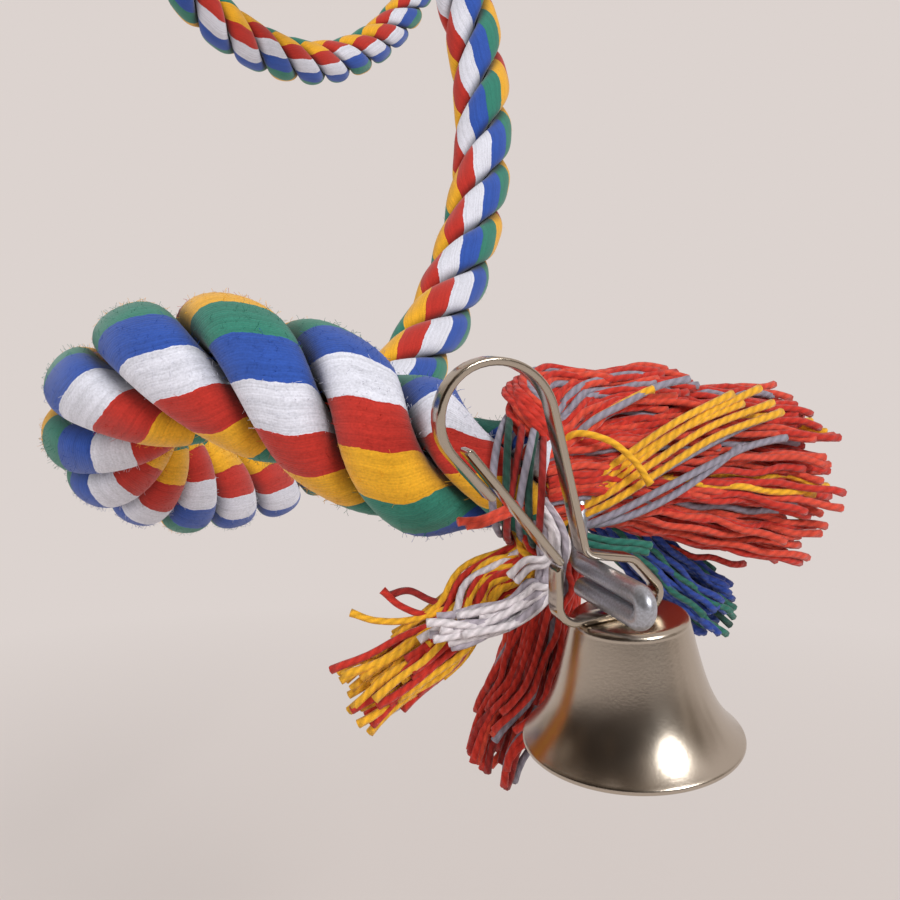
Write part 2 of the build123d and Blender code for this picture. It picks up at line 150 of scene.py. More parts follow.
# Rope strands: three soft cotton strands laid round the wire, pressed flat where they meet and drawn
# in at both necks. Each is spun the other way from yarns in five colours, so the yarns lie along the
# rope. The lay is short at the pushed-together lower end and longer above.
LAY = 37.0 * MM
LONG_LAY = 62.0 * MM
LAY_FROM = 70.0 * MM
LAY_SPAN = 150.0 * MM
STRAND_RING = 5.2 * MM
STRAND_OUTWARD = 4.8 * MM
STRAND_INWARD = 3.9 * MM
STRAND_ACROSS = 6.1 * MM
STRAND_PHASE = 1.48
NECK_SHARE = 0.7
CONTACT_SHARPNESS = 10
STRAND_SIDES = 64
SIDES_EVEN = 0.72
SWELLS = ((0.02, 6.1 * MM, 2.0), (0.015, 2.7 * MM, 1.3))
COLOUR_TURNS = 2
COLOUR_DRIFT = 0.1
COLOUR_START = (0.60, 0.67, 0.82)
COLOUR_RAG = 0.006
YARNS_PER_STRAND = 84
# Painted shade in the creases between strands: how deep it goes, and the strand angles over which it sets
# in.
VALLEY_SHADE = 0.7
VALLEY_FROM = 1.25
VALLEY_SPAN = 0.85
GREEN = "#2f7a68"
BLUE = "#2c50a4"
WHITE = "#d6d7e2"
RED = "#b62f25"
YELLOW = "#e6a926"
ROPE_COLOURS = [YELLOW, RED, WHITE, BLUE, GREEN]


def strand_skin(angle):
    """Distance from the strand's middle to its skin, angle 0 facing out of the rope: an ellipse,
    deeper outwards than inwards, softly limited by the two planes shared with its neighbours."""
    depth = np.where(np.cos(angle) > 0, STRAND_OUTWARD, STRAND_INWARD)
    ellipse = 1 / np.hypot(np.cos(angle) / depth, np.sin(angle) / STRAND_ACROSS)
    lean = np.abs(angle) - np.pi / 3
    plane = STRAND_RING * np.sin(np.pi / 3) / np.maximum(np.sin(np.maximum(lean, 0)), 1e-3)
    return (ellipse ** -CONTACT_SHARPNESS + plane ** -CONTACT_SHARPNESS) ** (-1 / CONTACT_SHARPNESS)


def tubes_mesh(name, rings, uvs, tints=None):
    """Closed tubes from rings of points, shaped (tube, ring, side, 3), with flat ends: each quad joins
    two neighbours on one ring to the same two on the next. The uvs have one more side than the rings,
    so that the seam is not wrapped. The tints are colours, or painted shades as plain numbers."""
    sides = rings.shape[2]
    index = np.arange(rings[..., 0].size).reshape(rings.shape[:3])
    first, last = index[:, :-1], index[:, 1:]
    quads = np.stack([first, np.roll(first, -1, 2), np.roll(last, -1, 2), last], -1).reshape(-1, 4)
    ends = np.concatenate([index[:, 0, ::-1], index[:, -1]]).reshape(-1, sides)
    mesh = bpy.data.meshes.new(name)
    mesh.from_pydata(rings.reshape(-1, 3).tolist(), [], quads.tolist() + ends.tolist())
    corner = np.stack([uvs[:, :-1, :-1], uvs[:, :-1, 1:], uvs[:, 1:, 1:], uvs[:, 1:, :-1]], 3)
    end_corner = np.concatenate([uvs[:, 0, -2::-1], uvs[:, -1, :-1]])
    corners = np.concatenate([corner.reshape(-1, 2), end_corner.reshape(-1, 2)])
    mesh.uv_layers.new(name="run").data.foreach_set("uv", corners.ravel())
    if tints is not None:
        # On the rope strands this attribute holds painted shade in place of a colour.
        attribute = mesh.attributes.new("tint_or_shade", "FLOAT_COLOR", "POINT")
        attribute.data.foreach_set("color", np.broadcast_to(tints, rings.shape[:3] + (4,)).ravel())
    mesh.polygons.foreach_set("use_smooth", np.ones(len(mesh.polygons), bool))
    return mesh


def place(mesh, material, body, slot, *nodes):
    """Adds a mesh as a piece of the object, on its body, for the solids that it stands for."""
    piece = bpy.data.objects.new(mesh.name, mesh)
    bpy.context.scene.collection.objects.link(piece)
    mesh.materials.append(material)
    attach(piece, body)
    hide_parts(*nodes)


def linear(colour):
    """sRGB hex colour as linear red, green, blue and alpha, by the sRGB curve."""
    value = np.array([int(colour[i:i + 2], 16) for i in (1, 3, 5)]) / 255
    value = np.where(value <= 0.04045, value / 12.92, ((value + 0.055) / 1.055) ** 2.4)
    return (*value.tolist(), 1.0)


def add(tree, kind, inputs=(), **settings):
    """Adds a shader node, sets its properties, and links or fills its inputs."""
    made = tree.nodes.new(kind)
    for name, value in settings.items():
        setattr(made, name, value)
    for name, value in dict(inputs).items():
        if isinstance(value, bpy.types.NodeSocket):
            tree.links.new(value, made.inputs[name])
        else:
            made.inputs[name].default_value = value
    return made


def surface(name):
    """New material with an empty tree, and its output node."""
    material = bpy.data.materials.new(name)
    material.use_nodes = True
    material.node_tree.nodes.clear()
    return material, material.node_tree, add(material.node_tree, "ShaderNodeOutputMaterial")


def spun_cotton():
    """Soft spun cotton: matt, with fine parallel yarns, a short nap and slightly ragged colour edges,
    and painted shade that darkens it towards the valleys between the strands. The nap's grain of
    0.3 mm is coarser than real fibres, so that it shows."""
    material, tree, output = surface("spun_cotton_five_colours")
    uv = add(tree, "ShaderNodeUVMap", uv_map="run")
    part = add(tree, "ShaderNodeSeparateXYZ", {0: uv.outputs[0]})
    where = add(tree, "ShaderNodeTexCoord")
    rag = add(tree, "ShaderNodeTexNoise", {"Vector": where.outputs["Object"], "Scale": 1 / (0.9 * MM)})
    shift = add(tree, "ShaderNodeMath", {
        0: rag.outputs["Fac"], 1: 2 * COLOUR_RAG, 2: -COLOUR_RAG,
    }, operation="MULTIPLY_ADD")
    ragged = add(tree, "ShaderNodeMath", {0: part.outputs["X"], 1: shift.outputs[0]}, operation="ADD")
    turn = add(tree, "ShaderNodeMath", {0: ragged.outputs[0]}, operation="FRACT")
    ramp = add(tree, "ShaderNodeValToRGB", {"Fac": turn.outputs[0]})
    ramp.color_ramp.interpolation = "CONSTANT"
    while len(ramp.color_ramp.elements) < len(ROPE_COLOURS):
        ramp.color_ramp.elements.new(0.5)
    for i, colour in enumerate(ROPE_COLOURS):
        ramp.color_ramp.elements[i].position = i / len(ROPE_COLOURS)
        ramp.color_ramp.elements[i].color = linear(colour)
    yarn = add(tree, "ShaderNodeMath", {0: part.outputs["X"], 1: YARNS_PER_STRAND}, operation="MULTIPLY")
    number = add(tree, "ShaderNodeMath", {0: yarn.outputs[0]}, operation="FLOOR")
    chance = add(tree, "ShaderNodeTexWhiteNoise", {"W": number.outputs[0]}, noise_dimensions="1D")
    fibre_place = add(tree, "ShaderNodeCombineXYZ", {"X": yarn.outputs[0]})
    along = add(tree, "ShaderNodeMath", {0: part.outputs["Y"], 1: 1 / (3.0 * MM)}, operation="MULTIPLY")
    tree.links.new(along.outputs[0], fibre_place.inputs["Y"])
    fibre = add(tree, "ShaderNodeTexNoise", {"Vector": fibre_place.outputs[0], "Scale": 1.3, "Detail": 5.0})
    lint = add(tree, "ShaderNodeTexNoise", {"Vector": where.outputs["Object"], "Scale": 1 / (5.0 * MM)})
    nap = add(tree, "ShaderNodeTexNoise", {
        "Vector": where.outputs["Object"], "Scale": 1 / (0.3 * MM), "Detail": 3.0,
    })
    # Painted shade: a share per point that darkens the strand's colour towards the creases where it meets
    # its neighbours.
    painted_valley_shade = add(tree, "ShaderNodeAttribute", attribute_name="tint_or_shade")
    tone = add(tree, "ShaderNodeMath", {
        0: chance.outputs["Value"], 1: 0.16, 2: 0.36,
    }, operation="MULTIPLY_ADD")
    for pattern, weight in ((nap, 0.6), (fibre, 0.36), (lint, 0.16)):
        lighter = {0: pattern.outputs["Fac"], 1: weight, 2: tone.outputs[0]}
        tone = add(tree, "ShaderNodeMath", lighter, operation="MULTIPLY_ADD")
    tone = add(tree, "ShaderNodeMath", {0: painted_valley_shade.outputs["Fac"], 1: tone.outputs[0]}, operation="MULTIPLY")
    shaded = add(tree, "ShaderNodeVectorMath", {0: ramp.outputs["Color"]}, operation="SCALE")
    tree.links.new(tone.outputs[0], shaded.inputs["Scale"])
    ridge = add(tree, "ShaderNodeMath", {0: yarn.outputs[0], 1: 0.5}, operation="PINGPONG")
    height = add(tree, "ShaderNodeMath", {
        0: fibre.outputs["Fac"], 1: 1.2, 2: ridge.outputs[0],
    }, operation="MULTIPLY_ADD")
    bump = add(tree, "ShaderNodeBump", {
        "Height": height.outputs[0], "Strength": 0.3, "Distance": 0.15 * MM,
    })
    cotton = add(tree, "ShaderNodeBsdfPrincipled", {
        "Base Color": shaded.outputs[0], "Roughness": 0.9, "Specular IOR Level": 0.2,
        "Sheen Weight": 0.25, "Sheen Roughness": 0.5, "Normal": bump.outputs[0],
    })
    tree.links.new(cotton.outputs[0], output.inputs["Surface"])
    return material


strand_cotton = spun_cotton()
spread = np.linspace(-1.0, 1.0, STRAND_SIDES + 1)
strand_angle = np.pi * (SIDES_EVEN * spread + (1 - SIDES_EVEN) * spread ** 3)
skin = strand_skin(strand_angle[:-1])
# Painted shade for the strands: 1 on the outer side, falling towards the creases where the strands meet.
painted_valley_shade = 1 - VALLEY_SHADE * ease((np.abs(strand_angle[:-1]) - VALLEY_FROM) / VALLEY_SPAN)
from_end = np.minimum(rope_run, rope_run[-1] - rope_run)
drawn = NECK_SHARE + (1 - NECK_SHARE) * ease((from_end - NECK_LENGTH) / (2 * SHOULDER_LENGTH))
lay_length = LAY + (LONG_LAY - LAY) * ease((rope_run - LAY_FROM) / LAY_SPAN)
lay_turns = np.concatenate([[0.0], np.cumsum(np.diff(rope_run) / lay_length[1:])])
strand_skins = []
strand_colours = []
for k in range(3):
    swell = 1 + sum(share * np.sin(rope_run / length + shift * k) for share, length, shift in SWELLS)
    lay_angle = (2 * np.pi * (lay_turns + k / 3) + STRAND_PHASE)[:, None]
    outward = rope_normal * np.cos(lay_angle) + rope_side * np.sin(lay_angle)
    around = rope_side * np.cos(lay_angle) - rope_normal * np.sin(lay_angle)
    out_reach = (STRAND_RING + skin * np.cos(strand_angle[:-1])) * (drawn * swell)[:, None]
    side_reach = skin * np.sin(strand_angle[:-1]) * (drawn * swell)[:, None]
    rings = rope_line[:, None] + out_reach[..., None] * outward[:, None]
    rings = rings + side_reach[..., None] * around[:, None]
    colour_turn = (strand_angle + COLOUR_TURNS * lay_angle) / (2 * np.pi) + COLOUR_START[k]
    colour_turn = colour_turn + COLOUR_DRIFT * lay_turns[:, None]
    uvs = np.stack(np.broadcast_arrays(colour_turn, rope_run[:, None]), -1)
    mesh = tubes_mesh(f"rope_strand_{k + 1}", rings[None], uvs[None], painted_valley_shade[:, None])
    place(mesh, strand_cotton, "perch", "rope", "rope")
    strand_skins.append(rings)
    strand_colours.append(colour_turn[:, :-1])

# Whippings: three loose cotton yarns, grey, dark green and dark red, wound by hand round each neck,
# side by side. They hold the strands together where the ends are frayed.
YARN_RADIUS = 0.45 * MM
YARN_SIDES = 6
YARN_TWIST = 3.0 * MM
END_SPREAD = 0.25
END_SHARPNESS = 16
STEEP = 0.9
WHIP_RADIUS = 7.5 * MM
WHIP_TURNS = 2.1
WHIP_PITCH = 3.2 * MM
WHIP_FIRST = 0.4 * MM
WHIP_WANDER = 0.4 * MM
WANDER_ALONG = (1.7, 1.9)
WANDER_OFF = (2.3, 2.1)
WHIP_STATIONS = 120
LAVENDER = "#8f8a98"
DARK_GREEN = "#27483f"
DARK_RED = "#942824"


def round_rings(lines, radii, sides):
    """Rings round lines shaped (tube, station, 3): circles square to each line, whose starting
    direction is carried along the line without twisting."""
    ahead = unit(np.gradient(lines, axis=1))
    carried = np.where(np.abs(ahead[:, 0, 2:]) < STEEP, (0.0, 0.0, 1.0), (1.0, 0.0, 0.0))
    normal = np.empty_like(lines)
    for i in range(lines.shape[1]):
        carried = unit(carried - np.sum(carried * ahead[:, i], -1, keepdims=True) * ahead[:, i])
        normal[:, i] = carried
    side = np.cross(ahead, normal)
    angle = np.linspace(0, 2 * np.pi, sides + 1)[:-1, None]
    circle = np.cos(angle) * normal[:, :, None] + np.sin(angle) * side[:, :, None]
    return lines[:, :, None] + radii[..., None, None] * circle


def yarns_mesh(name, lines, colours, radius=YARN_RADIUS, sides=YARN_SIDES):
    """Yarns along lines, spread a little at their cut ends, with their ply twist in the uvs."""
    share = np.linspace(0, 1, lines.shape[1])
    radii = np.broadcast_to(radius * (1 + END_SPREAD * share ** END_SHARPNESS), lines.shape[:2])
    step = np.linalg.norm(np.diff(lines, axis=1), axis=-1)
    run = np.concatenate([np.zeros((len(lines), 1)), np.cumsum(step, axis=1)], 1)[..., None]
    turn = np.linspace(0, 1, sides + 1) + run / YARN_TWIST
    uvs = np.stack(np.broadcast_arrays(turn, run), -1)
    tints = np.array([linear(colour) for colour in colours])[:, None, None]
    return tubes_mesh(name, round_rings(lines, radii, sides), uvs, tints)


def plied_yarn():
    """Matt cotton yarn of two plies: its own colour with painted shade between the plies, and a little
    fuzz whose grain of 0.35 mm is coarser than real fibres, so that it shows."""
    material, tree, output = surface("plied_cotton_yarn")
    tint_or_shade = add(tree, "ShaderNodeAttribute", attribute_name="tint_or_shade")
    uv = add(tree, "ShaderNodeUVMap", uv_map="run")
    part = add(tree, "ShaderNodeSeparateXYZ", {0: uv.outputs[0]})
    plies = add(tree, "ShaderNodeMath", {0: part.outputs["X"], 1: 2.0}, operation="MULTIPLY")
    ridge = add(tree, "ShaderNodeMath", {0: plies.outputs[0], 1: 0.5}, operation="PINGPONG")
    where = add(tree, "ShaderNodeTexCoord")
    fuzz = add(tree, "ShaderNodeTexNoise", {
        "Vector": where.outputs["Object"], "Scale": 1 / (0.35 * MM), "Detail": 4.0,
    })
    patch = add(tree, "ShaderNodeTexNoise", {"Vector": where.outputs["Object"], "Scale": 1 / (6.0 * MM)})
    # Painted shade: the colour is darkened towards the groove between the two plies.
    tone = add(tree, "ShaderNodeMath", {0: ridge.outputs[0], 1: 0.7, 2: 0.42}, operation="MULTIPLY_ADD")
    for pattern, weight in ((fuzz, 0.35), (patch, 0.4)):
        lighter = {0: pattern.outputs["Fac"], 1: weight, 2: tone.outputs[0]}
        tone = add(tree, "ShaderNodeMath", lighter, operation="MULTIPLY_ADD")
    shaded = add(tree, "ShaderNodeVectorMath", {0: tint_or_shade.outputs["Color"]}, operation="SCALE")
    tree.links.new(tone.outputs[0], shaded.inputs["Scale"])
    height = add(tree, "ShaderNodeMath", {
        0: fuzz.outputs["Fac"], 1: 0.4, 2: ridge.outputs[0],
    }, operation="MULTIPLY_ADD")
    bump = add(tree, "ShaderNodeBump", {
        "Height": height.outputs[0], "Strength": 0.7, "Distance": 0.3 * MM,
    })
    cotton = add(tree, "ShaderNodeBsdfPrincipled", {
        "Base Color": shaded.outputs[0], "Roughness": 0.9, "Specular IOR Level": 0.2,
        "Sheen Weight": 0.2, "Sheen Roughness": 0.5, "Normal": bump.outputs[0],
    })
    tree.links.new(cotton.outputs[0], output.inputs["Surface"])
    return material


def neck_axes(out):
    """The neck's own directions: out along the rope, back, and up across both."""
    back = unit(np.cross((0.0, 0.0, 1.0), out))
    return np.stack([out, back, np.cross(out, back)])


def wound_yarns(end, out):
    """Lines of the whipping yarns: screws round the neck, set side by side, that wander a little
    along it and off it by slow waves."""
    axes = neck_axes(out)
    angle = np.linspace(0, 2 * np.pi * WHIP_TURNS, WHIP_STATIONS)
    beside = np.arange(3)[:, None]
    height = SHOULDER_LENGTH + WHIP_FIRST + 2 * YARN_RADIUS * beside + WHIP_PITCH * angle / (2 * np.pi)
    height = height + WHIP_WANDER * np.sin(WANDER_ALONG[0] * angle + WANDER_ALONG[1] * beside)
    radius = WHIP_RADIUS + WHIP_WANDER * np.sin(WANDER_OFF[0] * angle + WANDER_OFF[1] * beside)
    local = np.stack(np.broadcast_arrays(height, radius * np.cos(angle), radius * np.sin(angle)), -1)
    return end + local @ axes


yarn_cotton = plied_yarn()
for which, end, out in (("lower", lower_end, lower_out), ("upper", upper_end, upper_out)):
    mesh = yarns_mesh(f"{which}_whipping_yarns", wound_yarns(end, out), [LAVENDER, DARK_GREEN, DARK_RED])
    place(mesh, yarn_cotton, "perch", "whipping_yarn", f"{which}_whipping")

# Rope fuzz: short loose fibres that stand off the strands, each in the colour that it grows from.
# They are densest at the handled lower end.
FUZZ_COUNT = 9000
FUZZ_NEAR_SHARE = 0.6
FUZZ_NEAR = 140.0 * MM
FUZZ_RADIUS = 0.02 * MM
FUZZ_LENGTH = (0.3 * MM, 0.9 * MM)
FUZZ_SEED = 41
FUZZ_LIFT = 0.6
FUZZ_CURL = 0.5
FUZZ_STATIONS = 4
FUZZ_SIDES = 3


def fuzz_lines():
    """Fibre lines and colours: each starts at a random place on a strand's outer side, leaves it
    aslant by a random share of the skin's normal and the rope's direction, and bends along the rope."""
    random = np.random.default_rng(FUZZ_SEED)
    near = random.uniform(0, 1, FUZZ_COUNT) < FUZZ_NEAR_SHARE
    spot = random.uniform(0, 1, FUZZ_COUNT) * np.where(near, FUZZ_NEAR, rope_run[-1])
    ring = np.clip(np.searchsorted(rope_run, spot), 1, ROPE_STATIONS - 2)
    strand = random.integers(0, 3, FUZZ_COUNT)
    column = random.integers(STRAND_SIDES // 8, STRAND_SIDES - STRAND_SIDES // 8, FUZZ_COUNT)
    skins = np.stack(strand_skins)
    root = skins[strand, ring, column]
    normal = unit(root - skins.mean(2)[strand, ring])
    along = rope_ahead[ring]
    aslant = random.uniform(-1, 1, (2, FUZZ_COUNT, 1))
    leave = unit(FUZZ_LIFT * normal + aslant[0] * along + aslant[1] * np.cross(normal, along))
    length = random.uniform(*FUZZ_LENGTH, (FUZZ_COUNT, 1, 1))
    x = np.linspace(0, 1, FUZZ_STATIONS)[:, None]
    curl = random.uniform(-FUZZ_CURL, FUZZ_CURL, (FUZZ_COUNT, 1, 1))
    lines = root[:, None] + length * (leave[:, None] * x + curl * along[:, None] * x ** 2)
    colour = (np.stack(strand_colours)[strand, ring, column] % 1 * len(ROPE_COLOURS)).astype(int)
    return lines, [ROPE_COLOURS[i] for i in colour]


def loose_fibre():
    """Single cotton fibres: matt, in the colour of the strand that they come from."""
    material, tree, output = surface("loose_cotton_fibre")
    tint_or_shade = add(tree, "ShaderNodeAttribute", attribute_name="tint_or_shade")
    cotton = add(tree, "ShaderNodeBsdfPrincipled", {
        "Base Color": tint_or_shade.outputs["Color"], "Roughness": 0.9, "Specular IOR Level": 0.2,
    })
    tree.links.new(cotton.outputs[0], output.inputs["Surface"])
    return material


lines, colours = fuzz_lines()
mesh = yarns_mesh("rope_fuzz", lines, colours, FUZZ_RADIUS, FUZZ_SIDES)
place(mesh, loose_fibre(), "perch", "rope", "rope")

# Lower tassels: beyond the neck the strands are frayed into single cotton yarns, in loose bundles of
# five colours. Each bundle follows a bent line, given as (outward, back, up, radius) in mm from the
# neck's end. Its row also has its seed, count, wave in mm, shortest length share and colour shares.
YARN_STATIONS = 34
CRINKLE = 0.22
CRINKLE_LENGTH = 6.5
CRINKLE_SKEW = 0.83
CRINKLE_RISE = 4
WAVE_SPEEDS = (5, 11)
WAVE_GROWTH = 1.5
BUNDLE_ROLL = (0.31, 0.12, 0.94)
LINE_SAMPLES = 80
COLOUR_SEEDS = 100
TASSEL_RED = "#c03226"
LIGHT_RED = "#d24a36"
PALE = "#dad2d6"
PALE_GREY = "#a9a0aa"
TASSEL_YELLOW = "#e9ac2b"
TASSEL_BLUE = "#2a4494"
TASSEL_GREEN = "#2b6a5c"


def smooth_line(points, share):
    """Curve through points by cubic pieces whose slopes come from the neighbouring points."""
    points = np.asarray(points, float)
    slope = np.gradient(points, axis=0)
    place_on = np.clip(share, 0, 1) * (len(points) - 1)
    first = np.minimum(place_on.astype(int), len(points) - 2)
    x = (place_on - first)[..., None]
    start, stop = points[first], points[first + 1]
    leave, arrive = slope[first], slope[first + 1]
    rise = 3 * x ** 2 - 2 * x ** 3
    bent = leave * (x ** 3 - 2 * x ** 2 + x) + arrive * (x ** 3 - x ** 2)
    return start + (stop - start) * rise + bent


def frayed_yarns(seed, stations, count, wave, shortest):
    """Lines of one bundle's yarns in the neck's own millimetres: each keeps its place across the
    bundle, scaled by the bundle's radius, and swings about it by a slow wave that grows outwards
    and by a small steady crinkle."""
    random = np.random.default_rng(seed)
    middle = smooth_line(stations, np.linspace(0, 1, LINE_SAMPLES))
    line, radius = middle[:, :3], middle[:, 3]
    bundle_length = np.linalg.norm(np.diff(line, axis=0), axis=1).sum()
    ahead = unit(np.gradient(line, axis=0))
    across = unit(np.cross(ahead, BUNDLE_ROLL))
    above = np.cross(ahead, across)
    spot = np.sqrt(random.uniform(0, 1, (count, 1)))
    bearing = random.uniform(0, 2 * np.pi, (count, 1))
    length = random.uniform(shortest, 1, (count, 1))
    share = np.linspace(0, 1, YARN_STATIONS) * length
    at = share * (LINE_SAMPLES - 1)
    sample = np.arange(LINE_SAMPLES)
    line, across, above = (
        np.stack([np.interp(at, sample, rows[:, k]) for k in range(3)], -1)
        for rows in (line, across, above)
    )
    phase = random.uniform(0, 2 * np.pi, (4, count, 1))
    speed = random.uniform(*WAVE_SPEEDS, (2, count, 1))
    swing = wave * share ** WAVE_GROWTH
    reach = np.interp(at, sample, radius) * spot
    sway = swing * (np.sin(speed[0] * share + phase[0]) - np.sin(phase[0]))
    nod = swing * (np.sin(speed[1] * share + phase[1]) - np.sin(phase[1]))
    kinks = 2 * np.pi * bundle_length * share / CRINKLE_LENGTH
    kink = CRINKLE * np.minimum(CRINKLE_RISE * share, 1)
    side = reach * np.cos(bearing) + sway + kink * np.sin(kinks + phase[2])
    rise = reach * np.sin(bearing) + nod + kink * np.sin(kinks * CRINKLE_SKEW + phase[3])
    return line + side[..., None] * across + rise[..., None] * above


def drawn_colours(seed, count, shares):
    """One colour for each yarn, drawn by the given shares apart from the draws for its place."""
    random = np.random.default_rng(seed + COLOUR_SEEDS)
    chosen = random.choice(len(shares), count, p=[share for colour, share in shares])
    return [shares[i][0] for i in chosen]


def neck_end(lines, end, out):
    """Lines given in millimetres from the neck's end, put in the object's frame."""
    return end + out * NECK_REACH + lines * MM @ neck_axes(out)


RED_SHARES = [(TASSEL_RED, 0.57), (LIGHT_RED, 0.32), (LAVENDER, 0.08), (TASSEL_YELLOW, 0.03)]
BLUE_SHARES = [(TASSEL_BLUE, 0.66), (TASSEL_GREEN, 0.24), (DARK_GREEN, 0.1)]
DARK_SHARES = [(TASSEL_RED, 0.5), (LIGHT_RED, 0.2), (DARK_RED, 0.2), (LAVENDER, 0.1)]
WHITE_SHARES = [(PALE, 0.7), (PALE_GREY, 0.3)]
YELLOW_SHARES = [(TASSEL_YELLOW, 0.76), (TASSEL_RED, 0.14), (PALE, 0.1)]
lower_bundles = [
    ("red", "red_brush", 21, 420, 0.9, 0.85, RED_SHARES,
     [(-3, 0, 0, 6), (3, 4.4, 1.8, 7), (10, 11.5, 2.6, 9), (20, 20, 3, 11.2), (31, 28, 2.4, 12.8)]),
    ("red", "red_fold", 22, 190, 0.8, 0.76, RED_SHARES,
     [(-3, 0.5, 1, 5.4), (-0.5, 2, 5, 5), (2.5, 5, 8, 5), (8.5, 10, 9.4, 5.5), (17, 16, 9.4, 6.5)]),
    ("red", "red_collar", 27, 70, 0.4, 0.8, RED_SHARES,
     [(1, 0, 3.5, 2.2), (-2.8, -2.5, 7.6, 2.2), (-4.4, 0.5, 10.2, 2.2), (-1.5, 4.5, 11.6, 2.4),
      (4.5, 8.2, 11.4, 2.6)]),
    ("blue", "blue_brush", 23, 70, 0.5, 0.8, BLUE_SHARES,
     [(-1, 2.5, 0, 2.5), (4.5, 8, -2, 2.6), (11, 14.5, -7.5, 3.4), (19, 22.5, -14, 4.4),
      (27, 28.5, -19, 5)]),
    ("dark", "dark_brush", 24, 90, 0.7, 0.72, DARK_SHARES,
     [(-1, 2, -3, 3), (2, 5.5, -8, 3.2), (2, 8.5, -16, 3.8), (1, 9.5, -28, 4.4), (-2.5, 8, -42, 4.4)]),
    ("yellow", "yellow_brush", 25, 90, 0.8, 0.7, YELLOW_SHARES,
     [(-1, -1, -4, 2.8), (0, -0.8, -9.2, 2.4), (-5.6, -0.6, -13.6, 2.6), (-10.4, -2.2, -22, 3.8),
      (-19.4, -4.8, -31, 4.6)]),
    ("white", "white_brush", 26, 22, 0.4, 0.7, WHITE_SHARES,
     [(-1, -4, -2.2, 1.6), (2, -5, -6.5, 1.6), (1.4, -5.6, -12.2, 1.6), (-3.4, -7.6, -16.4, 1.7),
      (-10.4, -9.5, -18.2, 2)]),
]
for colour, name, seed, count, wave, shortest, shares, stations in lower_bundles:
    lines = neck_end(frayed_yarns(seed, stations, count, wave, shortest), lower_end, lower_out)
    mesh = yarns_mesh(f"lower_{name}", lines, drawn_colours(seed, count, shares))
    place(mesh, yarn_cotton, "perch", f"yarn_{colour}", f"lower_tassel_{colour}")

# Loose yarns: single yarns that were pulled out of the lower tassels, each along its own line,
# given as points (outward, back, up) in mm from the neck's end, under its colour.
loose_yarns = [
    (TASSEL_YELLOW, [
        [(0.8, -0.8, 1.6), (1.9, -2.6, 6.3), (6.1, -2.8, 6.5), (9.5, -2.2, 4.6), (11.9, -1.8, 2.1)],
        [(1.9, -0.8, 0.5), (3.3, -1.3, 7.1), (6.2, 0.4, 10), (9.4, 2, 12.4), (10.5, 2.6, 13)],
        [(1.2, -0.6, -4.7), (6.6, -0.8, 0.3), (11.1, 1.4, 5.2), (17.3, 6.3, 10.8), (24, 12.4, 15)],
        [(1.6, -0.9, -4.4), (7.2, -1.2, 0), (12, 1.2, 4.4), (18.2, 6.4, 9.4), (26, 13, 13.4)],
        [(1.9, -1.1, -5), (7.8, -1.3, -0.9), (12.6, 1.2, 3.2), (19.2, 6.4, 8.4), (27.4, 13.6, 12.4)],
        [(0.9, -1, -3.9), (5.4, -1.3, 0.4), (9.6, 0.4, 4.6), (15.2, 4.6, 9), (22, 10.4, 12.8)],
        [(0.6, -1.2, -3.2), (4.8, -1.7, 0.9), (8.8, -0.2, 5), (14, 3.4, 9.6), (20.4, 9, 13.8)],
        [(20, 12, 9), (25, 16, 11.4), (28.4, 19.4, 11.6), (31.2, 19.9, 10.7), (34.7, 20.5, 10.5)],
    ]),
    (LAVENDER, [
        [(2.2, -0.8, -5.5), (7.7, -1, -1.1), (14.2, 2.6, 4.3), (21.9, 9.8, 9.4), (26.3, 13.2, 11.8)],
        [(2.6, -1.2, -5.9), (8.4, -1.2, -2.2), (15.4, 2.6, 2.6), (23, 9.6, 7.2), (28.6, 14.4, 9.2)],
        [(0.4, -0.9, 3), (3.6, -1.6, 7.8), (7.4, 0.6, 10.8), (11, 3.2, 13.4), (14.6, 5.8, 14.8)],
        [(3, -1, -4.9), (9, -0.6, -2.9), (14.6, 2.4, 0.4), (19.4, 6.4, 4.4), (22.4, 9, 7.4)],
    ]),
    (TASSEL_GREEN, [
        [(3.1, -1, -4.6), (5.1, -1.2, -5.3), (8.4, -1.2, -5.5), (11, -0.2, -5.4), (13.3, 1.2, -5.6)],
        [(3, -1.4, -5.2), (5.4, -1.6, -6.1), (8.6, -1.6, -6.3), (11.2, -0.4, -6.2), (13, 0.8, -6.4)],
    ]),
    (DARK_RED, [
        [(-2, -1, -9.4), (-6, -2, -14.6), (-10.6, -3, -16.4), (-14.4, -3.4, -15.6), (-17, -3.4, -16.8)],
    ]),
    (TASSEL_RED, [
        [(-2, -1.6, -9.6), (-6.4, -2.6, -15.4), (-11.2, -3.4, -18), (-15, -3.8, -17.6), (-17.6, -4, -16)],
    ]),
    (TASSEL_YELLOW, [
        [(-2, -2, -10), (-7.6, -3, -15.6), (-13, -3.8, -18.8), (-17.6, -4.4, -19.8), (-21, -4.6, -19.4)],
    ]),
    (LIGHT_RED, [
        [(-0.4, -5, -1), (-2.6, -7.2, -2), (-4.4, -8.6, -3.1), (-6.2, -9.9, -4.1), (-8.4, -11.4, -4.5)],
        [(-0.6, -5, -1.8), (-2.8, -7.4, -3), (-4.6, -8.9, -3.9), (-6, -10, -4.6), (-7.4, -11, -4.8)],
    ]),
    (PALE, [
        [(0.2, -4.7, -3), (1.8, -6.2, -5), (1.6, -7.2, -7.6), (-0.6, -7.8, -8.2), (-2.2, -7.2, -10.4)],
        [(0.6, -4.2, -3), (2.4, -5.6, -5.4), (2, -6.6, -8.2), (0, -7.2, -9), (-1.4, -6.8, -11)],
    ]),
]
share = np.linspace(0, 1, YARN_STATIONS)
lines = np.stack([smooth_line(points, share) for colour, group in loose_yarns for points in group])
colours = [colour for colour, group in loose_yarns for points in group]
mesh = yarns_mesh("lower_loose_yarns", neck_end(lines, lower_end, lower_out), colours)
place(mesh, yarn_cotton, "perch", "yarn_red", "lower_tassel_red")

